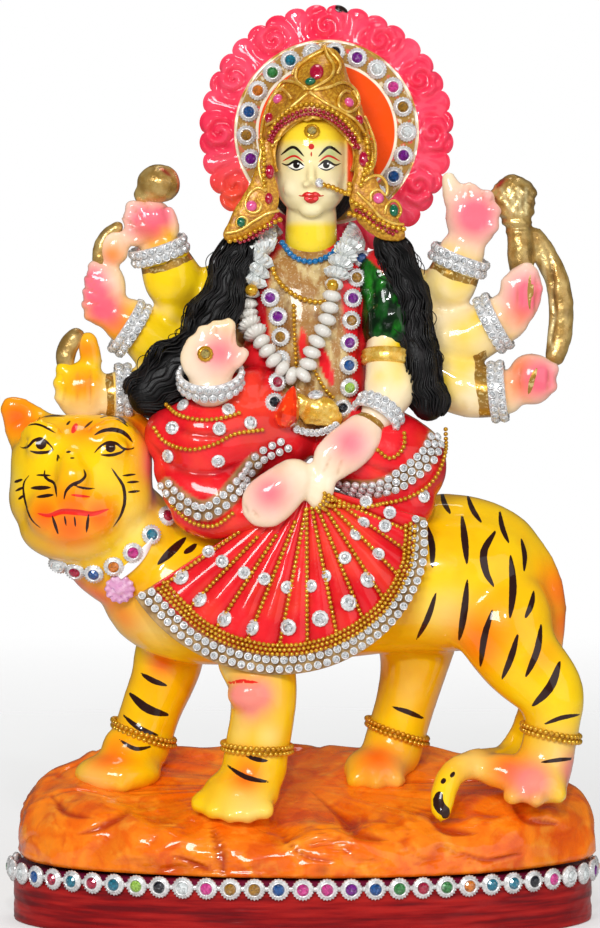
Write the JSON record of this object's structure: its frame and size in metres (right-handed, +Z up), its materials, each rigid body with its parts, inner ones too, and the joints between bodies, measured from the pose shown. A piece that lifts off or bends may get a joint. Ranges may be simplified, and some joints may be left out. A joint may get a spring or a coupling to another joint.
{
  "type": "durga idol",
  "caption": "Painted plaster idol of the goddess Durga riding a tiger, with a scalloped halo, on an oval plinth, dressed with glued bead chains and stone lace.",
  "frame": {"origin": "centre of the plinth's underside", "axes": "+Z up, -Y towards the viewer, so the figure faces -Y, and +X to the viewer's right, towards the tiger's tail"},
  "size_m": [0.2172, 0.109, 0.3301],
  "materials": {
    "painted_plaster": "gloss enamel paint, airbrushed, on cast gypsum plaster",
    "black_hair": "dyed fibre hair, brushed and varnished",
    "gold_bead": "gilt ball chain",
    "silver_stone": "bright cups with faceted stones",
    "red_stone": "foil-backed red stones in gilt cups",
    "zari_gold": "gold zari and wire on brown lacquer",
    "pearl_white": "pearl lustre",
    "blue_bead": "gloss",
    "orange_glass": "gloss, foil-backed",
    "pink_lacquer": "satin"
  },
  "bodies": {
    "root": {"plaster_casting": "painted_plaster", "hair_braid_right": "black_hair", "hair_braid_left": "black_hair", "crown": "zari_gold", "crown_wing_right": "zari_gold", "crown_wing_left": "zari_gold", "halo_stone_ring": "silver_stone", "bangle_right_upper": "silver_stone", "bangle_right_middle": "silver_stone", "bangle_right_lower": "silver_stone", "bangle_left_upper": "silver_stone", "bangle_left_middle": "silver_stone", "bangle_left_lower": "silver_stone", "bangle_right_blessing": "silver_stone", "bangle_left_knee": "silver_stone", "armlet_left": "zari_gold", "blue_bead_choker": "blue_bead", "gold_bead_necklace": "gold_bead", "stone_garland": "silver_stone", "pearl_garland": "pearl_white", "gold_brooch": "zari_gold", "orange_drop_pendant": "orange_glass", "knee_chain_upper": "gold_bead", "knee_chain_lower": "gold_bead", "knee_stone_lace": "silver_stone", "thigh_stone_lace": "silver_stone", "thigh_chain": "gold_bead", "thigh_hem_chain": "gold_bead", "pleat_chain_1": "gold_bead", "pleat_chain_2": "gold_bead", "pleat_chain_3": "gold_bead", "pleat_chain_4": "gold_bead", "pleat_chain_5": "gold_bead", "pleat_chain_6": "gold_bead", "pleat_chain_7": "gold_bead", "pleat_chain_8": "gold_bead", "pleat_chain_9": "gold_bead", "pleat_chain_10": "gold_bead", "pleat_chain_11": "gold_bead", "pleat_chain_12": "gold_bead", "hem_bead_chains": "gold_bead", "hem_stone_lace": "silver_stone", "tiger_collar": "red_stone", "collar_flower_pendant": "pink_lacquer", "anklet_front_far": "gold_bead", "anklet_front_near": "gold_bead", "anklet_hind_far": "gold_bead", "anklet_hind_near": "gold_bead", "plinth_stone_band": "silver_stone"}
  },
  "joints": []
}
